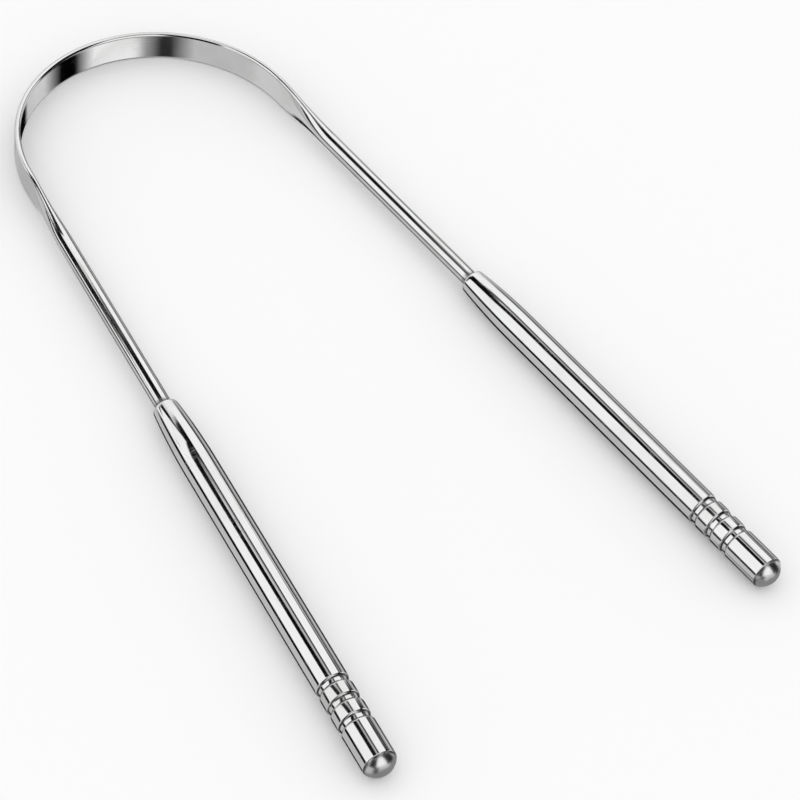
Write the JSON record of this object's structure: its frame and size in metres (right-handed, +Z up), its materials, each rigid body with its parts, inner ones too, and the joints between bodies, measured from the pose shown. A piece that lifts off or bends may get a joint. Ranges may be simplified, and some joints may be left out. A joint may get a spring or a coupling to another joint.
{
  "type": "tongue scraper",
  "caption": "U-shaped stainless tongue scraper: a bent wire pressed into a thin scraping band, with slim round tube handles that are crimped on, grooved and domed at the ends.",
  "frame": {"origin": "centre of the bounding box in plan, at the height of the table that the scraper lies on", "axes": "+Y along the scraper from the handle ends to the scraping bend, +X across to the right handle, +Z up off the table"},
  "size_m": [0.0764, 0.1498, 0.0056],
  "materials": {
    "wire_steel": "polished",
    "sleeve_steel": "polished",
    "plug_steel": "polished"
  },
  "bodies": {
    "root": {"scraper_wire": "wire_steel", "left_handle_sleeve": "sleeve_steel", "right_handle_sleeve": "sleeve_steel", "left_end_plug": "plug_steel", "right_end_plug": "plug_steel"}
  },
  "joints": []
}
